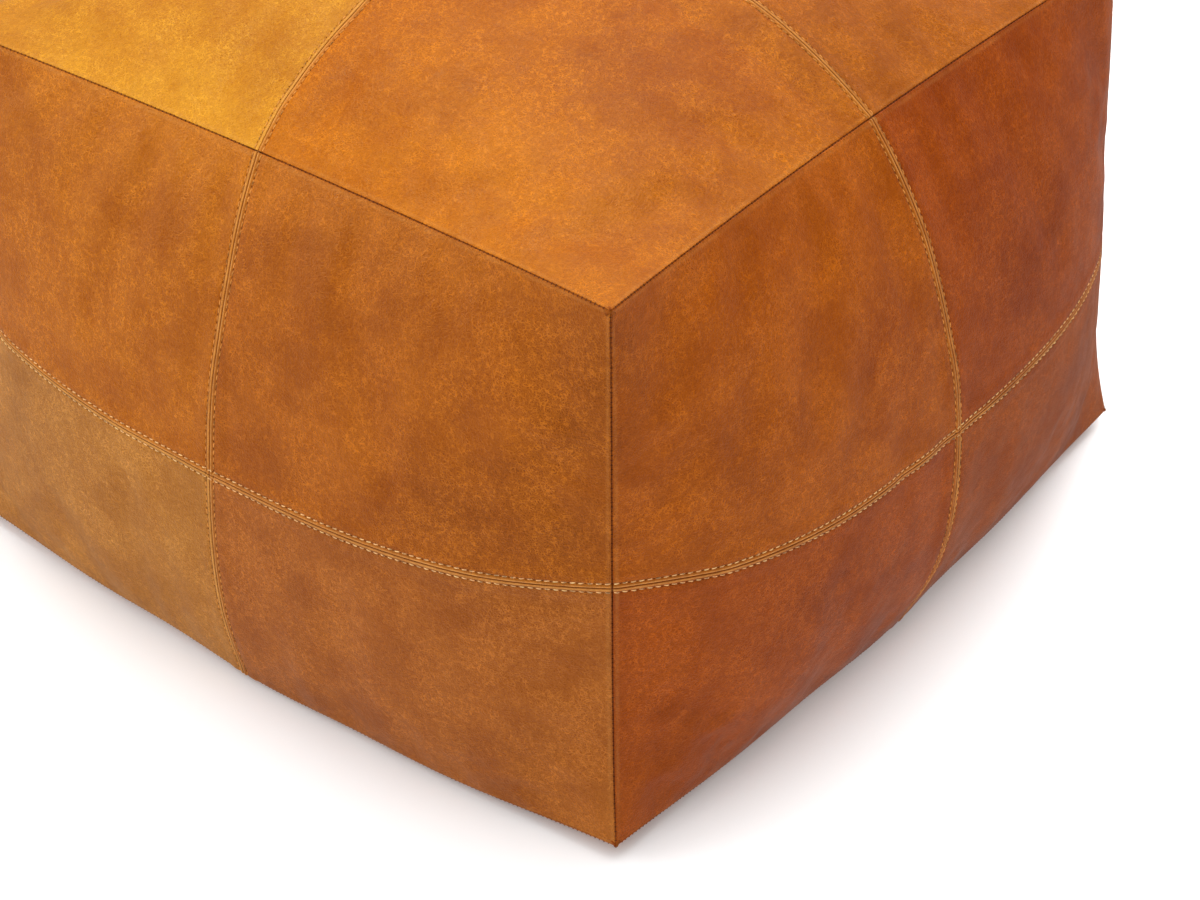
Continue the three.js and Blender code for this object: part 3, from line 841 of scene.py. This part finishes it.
def seam_maps(paint):
    """Distances in mm from the nearest cross seam and edge seam, and the needle holes from 0 to 1."""
    distances = []
    holes = 0.0
    for seam in ("seam_u", "seam_v"):
        away, count, _ = paint.split(paint.node("UVMap", {}, uv_map=seam))
        distances.append(away)
        step = paint.math("SUBTRACT", paint.math("FRACT", paint.math("ADD", count, 0.5)), 0.5)
        hole = paint.math("MULTIPLY", spot(paint, step, 0.0, 0.14), spot(paint, away, ROW / MM, 0.7))
        holes = paint.math("MAXIMUM", holes, hole)
    edge_u, edge_v, _ = paint.split(paint.node("UVMap", {}, uv_map="edges"))
    return paint.math("MINIMUM", *distances), paint.math("MINIMUM", edge_u, edge_v), holes


def leather(name, deep, middle, light, seed):
    """Waxed full-grain leather: clouded colour, pebbled grain, fine creases, and wear along the seams, with
    painted highlights beside them and painted shade in their grooves and needle holes.
    """
    paint = Paint("leather_" + name)
    chance = np.random.default_rng(seed)
    place = paint.place(tuple(chance.uniform(-4, 4, 3)))

    # Colour: wide clouds, and marks with ragged outlines.
    clouds = paint.noise(place, 8.0, 3.0, 0.5, 0.4)
    mottle = paint.noise(place, 42.0, 9.0, 0.82, 0.2)
    patina = paint.noise(place, 30.0, 5.0, 0.62, 0.3)
    tone = paint.math("ADD", paint.math("MULTIPLY", clouds, 0.35), paint.math("MULTIPLY", patina, 0.65))
    shade = paint.shades(tone, [(0.23, colour(*deep)), (0.5, colour(*middle)), (0.77, colour(*light))])
    ragged = paint.math("MULTIPLY", paint.math("SUBTRACT", mottle, 0.5), 1.6)
    shade = with_marks(paint, shade, ragged)
    darker = paint.between(clouds, 0.56, 0.74, 0.0, 0.25)
    shade = paint.blend(darker, shade, MARK_COLOURS["dark_patch"], "MULTIPLY")

    # Grain: darker pebbles and pits, and light creases.
    pebbles, creases, pits = grain(paint, place)
    raised = paint.between(pebbles, 0.0, 1.0, 0.0, 0.28)
    shade = paint.blend(raised, shade, (0.78, 0.6, 0.42, 1), "MULTIPLY")
    shade = paint.blend(pits, shade, (0.66, 0.45, 0.28, 1), "MULTIPLY")
    crease_colour = colour(*(min(255, 1.22 * tone + more) for tone, more in zip(light, (27, 27, 17))))
    shade = paint.blend(paint.math("MULTIPLY", creases, 0.75), shade, crease_colour)

    # Seams: thin dark lines, a ridge lightened by rubbing beside them, dirty stitch lines and needle holes.
    # The dark lines and stitch lines are dirt and in part painted shade in their grooves, the ridge is worn
    # light and in part a painted highlight, and the needle holes are painted dark as the shade inside them.
    cross, edge, holes = seam_maps(paint)
    band = paint.between(cross, 2.6, 3.8, 0.14, 0.0)
    shade = paint.blend(band, shade, colour(206, 140, 62))
    # Painted highlight with wear: the ridge beside a cross seam and the rolled leather beside an edge seam
    # are lightened where they catch the light, and where rubbing wears them.
    edge_rubbed_and_highlight = paint.math("MULTIPLY", spot(paint, edge, 2.2, 1.6), 0.2)
    rubbed_and_highlight = paint.math("MAXIMUM", spot(paint, cross, 1.1, 1.0), edge_rubbed_and_highlight)
    rubbed_and_highlight = paint.math("MULTIPLY", rubbed_and_highlight, paint.between(mottle, 0.35, 0.65, 0.2, 0.75))
    shade = paint.blend(rubbed_and_highlight, shade, colour(226, 160, 84))
    # Painted shade with dirt: the seam grooves and the drawn-in stitch lines are darkened.
    soiled_and_shaded = paint.math("MULTIPLY", spot(paint, cross, ROW / MM, 0.8), 0.22)
    soiled_and_shaded = paint.math("MAXIMUM", soiled_and_shaded, paint.between(cross, 0.1, 0.5, 0.55, 0.0))
    soiled_and_shaded = paint.math("MAXIMUM", soiled_and_shaded, paint.between(edge, 0.15, 0.7, 0.5, 0.0))
    shade = paint.blend(soiled_and_shaded, shade, (0.34, 0.15, 0.08, 1), "MULTIPLY")
    # Painted shade inside the needle holes.
    shade = paint.blend(holes, shade, (0.3, 0.14, 0.08, 1), "MULTIPLY")

    gloss = paint.between(paint.noise(place, 60.0, 4.0), 0.3, 0.7, 0.31, 0.46)
    gloss = paint.math("ADD", gloss, paint.math("MULTIPLY", paint.math("MAXIMUM", soiled_and_shaded, holes), 0.35))
    # Heights in millimetres.
    height = paint.math("MULTIPLY", paint.noise(place, 75.0, 3.0), 0.9)
    height = paint.math("ADD", height, paint.math("MULTIPLY", pebbles, 0.13))
    height = paint.math("ADD", height, paint.math("MULTIPLY", creases, 0.12))
    height = paint.math("SUBTRACT", height, paint.math("MULTIPLY", pits, 0.1))
    height = paint.math("SUBTRACT", height, paint.math("MULTIPLY", holes, 0.5))
    return paint.finish({
        "Base Color": shade,
        "Roughness": gloss,
        "Specular IOR Level": 0.32,
        "Specular Tint": (1.0, 0.76, 0.32, 1),
        "Normal": paint.bump(height, MM),
    })


def sewing_thread(name, base, seed):
    paint = Paint(name)
    place = paint.place((seed, 0, 0))
    tone = paint.noise(place, 260.0, 3.0)
    dark = [0.62 * channel for channel in base]
    light = [min(255, 1.12 * channel) for channel in base]
    shade = paint.shades(tone, [(0.35, colour(*dark)), (0.5, colour(*base)), (0.66, colour(*light))])
    fibres = paint.noise(place, 4200.0, 2.0)
    return paint.finish({
        "Base Color": shade,
        "Roughness": paint.between(fibres, 0.3, 0.7, 0.5, 0.75),
        "Sheen Weight": 0.05,
        "Specular IOR Level": 0.2,
        "Normal": paint.bump(fibres, 0.0001),
    })


def woven(name, warp, weft, per_metre, seed):
    """A plain weave seen from any side, from three crossed waves."""
    paint = Paint(name)
    place = paint.place((seed, 0, 0))
    waves = []
    for axis in paint.split(place)[:3]:
        waves.append(paint.math("SINE", paint.math("MULTIPLY", axis, 2 * math.pi * per_metre)))
    crossed = paint.math("MULTIPLY", waves[0], waves[1])
    crossed = paint.math("ADD", crossed, paint.math("MULTIPLY", waves[1], waves[2]))
    crossed = paint.math("ADD", crossed, paint.math("MULTIPLY", waves[2], waves[0]))
    over = paint.between(crossed, -0.6, 0.6)
    worn = paint.noise(place, 35.0, 4.0)
    shade = paint.blend(over, colour(*warp), colour(*weft))
    shade = paint.blend(paint.between(worn, 0.4, 0.7, 0.0, 0.35), shade, (0.7, 0.66, 0.6, 1), "MULTIPLY")
    return paint.finish({
        "Base Color": shade,
        "Roughness": paint.between(worn, 0.3, 0.7, 0.75, 0.92),
        "Sheen Weight": 0.3,
        "Normal": paint.bump(over, 0.0002),
    })


def fibre_fill(name):
    paint = Paint(name)
    place = paint.place()
    strands = paint.noise(place, 160.0, 6.0, 0.7, 2.5)
    stops = [(0.3, colour(186, 182, 172)), (0.55, colour(226, 223, 214)), (0.75, colour(243, 241, 235))]
    return paint.finish({
        "Base Color": paint.shades(strands, stops),
        "Roughness": 0.95,
        "Sheen Weight": 0.5,
        "Normal": paint.bump(strands, 0.002),
    })


def zip_brass(name):
    """Antique brass: bright and brown in patches over it, finely brushed."""
    paint = Paint(name)
    place = paint.place()
    patina = paint.noise(place, 420.0, 5.0, 0.65)
    stops = [(0.35, colour(92, 66, 38)), (0.52, colour(158, 122, 70)), (0.7, colour(204, 170, 108))]
    scratches = paint.noise(place, 2300.0, 2.0, 0.5, 1.5)
    return paint.finish({
        "Base Color": paint.shades(patina, stops),
        "Metallic": 1.0,
        "Roughness": paint.between(patina, 0.35, 0.7, 0.5, 0.3),
        "Normal": paint.bump(scratches, 0.00006),
    })


def nylon(name):
    paint = Paint(name)
    place = paint.place()
    tone = paint.noise(place, 300.0, 3.0)
    shade = paint.shades(tone, [(0.35, colour(70, 40, 22)), (0.6, colour(104, 62, 34))])
    return paint.finish({
        "Base Color": shade,
        "Roughness": paint.between(tone, 0.3, 0.7, 0.28, 0.42),
        "Normal": paint.bump(paint.noise(place, 1800.0), 0.00003),
    })


# ---- pieces

# Each hide's deep, middle and light shade.
HIDES = {
    "orange": ((158, 78, 10), (180, 104, 22), (199, 125, 40)),
    "tan": ((148, 76, 20), (169, 94, 28), (190, 115, 42)),
    "honey": ((174, 102, 24), (190, 121, 38), (205, 141, 58)),
    "russet": ((144, 66, 16), (160, 82, 24), (178, 100, 36)),
    "brown": ((146, 72, 24), (162, 87, 34), (180, 105, 48)),
    "olive": ((144, 80, 34), (158, 95, 44), (174, 112, 60)),
}

# Each panel's hide, and how much red, green and blue it keeps.
PANELS = {
    "top_panel_front_left": ("orange", 0.90, 0.77, 0.10),
    "top_panel_front_right": ("tan", 0.89, 0.76, 0.06),
    "top_panel_back_left": ("honey", 0.96, 0.90, 0.46),
    "top_panel_back_right": ("russet", 1.00, 0.95, 0.48),
    "front_panel_lower_left": ("brown", 0.87, 0.64, 0.08),
    "front_panel_lower_right": ("olive", 0.86, 0.58, 0.05),
    "front_panel_upper_left": ("tan", 0.89, 0.71, 0.07),
    "front_panel_upper_right": ("russet", 0.87, 0.65, 0.03),
    "right_panel_lower_front": ("tan", 0.85, 0.75, 0.25),
    "right_panel_lower_back": ("russet", 0.86, 0.78, 0.26),
    "right_panel_upper_front": ("olive", 0.86, 0.74, 0.22),
    "right_panel_upper_back": ("tan", 0.86, 0.76, 0.24),
    "back_panel_lower_right": ("russet", 0.85, 0.78, 0.27),
    "back_panel_lower_left": ("tan", 0.85, 0.76, 0.29),
    "back_panel_upper_right": ("brown", 0.86, 0.78, 0.29),
    "back_panel_upper_left": ("orange", 0.83, 0.74, 0.24),
    "left_panel_lower_back": ("honey", 0.85, 0.81, 0.84),
    "left_panel_lower_front": ("brown", 0.91, 0.86, 0.63),
    "left_panel_upper_back": ("russet", 1.00, 0.99, 0.37),
    "left_panel_upper_front": ("tan", 0.88, 0.76, 0.29),
    "base_panel_front": ("russet", 0.85, 0.78, 0.36),
    "base_panel_back": ("tan", 0.85, 0.78, 0.36),
}


def panel_signs(face, node):
    """Which quarter of its face a panel is, from its solid's box."""
    low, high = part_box(node)
    centre = (low + high) / 2
    if face in SIDES:
        along = (centre.x, centre.y, -centre.x, -centre.y)[SIDES.index(face)]
        return (1 if along > 0 else -1), (1 if "upper" in node else -1)
    return (0 if face == "base" else 1 if centre.x > 0 else -1), (1 if centre.y > 0 else -1)


simulate_stuffing()

for number, (node, (hide, *kept)) in enumerate(PANELS.items()):
    face = node.split("_")[0]
    tones = [[share * channel for share, channel in zip(kept, tone)] for tone in HIDES[hide]]
    material = leather(node.replace("panel_", ""), *tones, seed=100 + number)
    leather_panel(node, face, *panel_signs(face, node), material, "leather_" + hide)

# One thread in two painted copies: painted lit for the sides' level rows and the base, and painted in shade
# for the upright rows and the top's rows.
thread_painted_lit = sewing_thread("topstitch_thread", (250, 204, 144), 0.0)
thread_painted_shade = sewing_thread("topstitch_thread_painted_shade", (214, 146, 70), 5.0)
for number, face in enumerate(FACES):
    if face == "base":
        zip_stitches("topstitch_base", thread_painted_lit)
        continue
    level_thread = thread_painted_shade if face == "top" else thread_painted_lit
    stitches("topstitch_" + face + "_upright", face, 0, thread_painted_shade, seed=200 + number)
    stitches("topstitch_" + face + "_level", face, 1, level_thread, seed=210 + number)
edge_stitches("edge_stitches", sewing_thread("edge_thread", (104, 44, 20), 3.0))

filament = nylon("zip_filament")
for half in ("front", "back"):
    zip_coil("zip_coil_" + half, filament)

tape_cloth = woven("zip_tape_cloth", (92, 56, 32), (118, 74, 44), 900.0, 1.0)
brass = zip_brass("zip_brass")
for node in ("zip_tape_front", "zip_tape_back"):
    coat(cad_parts[node], tape_cloth)
for node in ("zip_top_stop_front", "zip_top_stop_back", "zip_bottom_stop", "zip_slider", "zip_pull"):
    coat(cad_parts[node], brass)


# How deep the liner and the stuffing lie under the leather, and how much deeper they lie at a seam.
LINER_DEPTH = 2.6 * MM
STUFFING_DEPTH = 5.2 * MM
DEEPER_AT_SEAM = 3.4 * MM
LUMPS = 1.6 * MM


def near_seam(face, u, v):
    """1 at a seam, 0 well away from all of them."""
    nearest = np.minimum.reduce(seam_distances(face, u, v))
    return np.exp(-((nearest / (9 * MM)) ** 2))


def liner_depth(face, u, v):
    return LINER_DEPTH + DEEPER_AT_SEAM * near_seam(face, u, v)


def stuffing_depth(face, u, v):
    x, y, z = plain_point(face, u, v).T
    lumps = np.sin(x * 61) * np.sin(y * 53 + 1) * np.sin(z * 67 + 2)
    return STUFFING_DEPTH + DEEPER_AT_SEAM * near_seam(face, u, v) + LUMPS * lumps


liner = closed_skin("cotton_liner", liner_depth)
liner_weave = woven("liner_weave", (224, 216, 200), (206, 197, 180), 520.0, 2.0)
dress(liner, liner_weave, replaces=["liner_bag"])

stuffing = closed_skin("fibre_stuffing", stuffing_depth)
dress(stuffing, fibre_fill("stuffing_fibres"), replaces=["stuffing"])


# ---- camera and lights

# The photograph's view, in radians, and the camera's place in half widths of the pouf.
AZIMUTH = 0.9044
ELEVATION = 0.6295
CAMERA_PLACE = (-4.7047, -3.8862, 4.473)
toward_camera = Vector((
    -math.sin(AZIMUTH) * math.cos(ELEVATION),
    -math.cos(AZIMUTH) * math.cos(ELEVATION),
    math.sin(ELEVATION),
))
camera = bpy.data.objects.new("camera", bpy.data.cameras.new("camera"))
bpy.context.scene.collection.objects.link(camera)
camera.location = Vector(CAMERA_PLACE) * HALF_WIDTH
camera.rotation_euler = toward_camera.to_track_quat("Z", "Y").to_euler()
camera.data.lens = 84.5
camera.data.sensor_width = 36
bpy.context.scene.camera = camera
bpy.context.scene.view_settings.view_transform = "Standard"


def area_light(name, place, aim, size, power, glossy=True):
    light = bpy.data.objects.new(name, bpy.data.lights.new(name, "AREA"))
    light.data.shape = "RECTANGLE"
    light.data.size, light.data.size_y = size
    light.data.energy = power
    light.location = place
    light.visible_glossy = glossy
    light.rotation_euler = (Vector(place) - Vector(aim)).to_track_quat("Z", "Y").to_euler()
    bpy.context.scene.collection.objects.link(light)
    return light


area_light("overhead", (0.3, 0.3, 2.6), (0, 0, 0.3), (2.4, 2.4), 58)
area_light("left_back", (-2.2, 2.2, 1.8), (0, 0, 0.2), (2.0, 1.6), 42)
area_light("front_left", (-2.2, -2.2, 2.2), (0, 0, 0.2), (1.6, 1.6), 14)
area_light("right", (3.0, 0.0, 1.6), (0, 0, 0.2), (2.0, 1.6), 60, glossy=False)

world = bpy.data.worlds.new("studio")
bpy.context.scene.world = world
world.use_nodes = True
background = world.node_tree.nodes["Background"]
background.inputs["Color"].default_value = (1, 1, 1, 1)
# The world is a weak light, and plain white where the camera sees it past the floor.
WORLD_LIGHT = 0.3
light_path = world.node_tree.nodes.new("ShaderNodeLightPath")
strength = world.node_tree.nodes.new("ShaderNodeMapRange")
strength.inputs["To Min"].default_value = WORLD_LIGHT
world.node_tree.links.new(light_path.outputs["Is Camera Ray"], strength.inputs["Value"])
world.node_tree.links.new(strength.outputs["Result"], background.inputs["Strength"])

FLOOR_DROP = 0.6 * MM
floor = mesh_object("floor", [(x, y, -FLOOR_DROP) for x in (-9, 9) for y in (-9, 9)], [(0, 2, 3, 1)])
# The floor glows: weakly beside the pouf, where the glow lifts the shade on it, and fully far out, where it
# is plain white.
floor_paint = Paint("floor_white")
floor_tone = floor_paint.noise(floor_paint.place(), 2.0)
out_from_middle = floor_paint.node("VectorMath", {0: floor_paint.place()}, 1, operation="LENGTH")
floor.data.materials.append(floor_paint.finish({
    "Base Color": floor_paint.shades(floor_tone, [(0.3, (0.87, 0.87, 0.87, 1)), (0.7, (0.9, 0.9, 0.9, 1))]),
    "Roughness": 0.9,
    "Specular IOR Level": 0.1,
    "Emission Color": (1, 1, 1, 1),
    "Emission Strength": floor_paint.between(out_from_middle, 1.2, 4.5, 0.1, 1.0),
}))
floor.visible_glossy = False

# A wide soft light that falls on the floor alone, so that the floor is white up to the contact shadow.
floor_only = bpy.data.collections.new("floor_only")
floor_only.objects.link(floor)
area_light("floor_fill", (0, 0, 4), (0, 0, 0), (7, 7), 150).light_linking.receiver_collection = floor_only
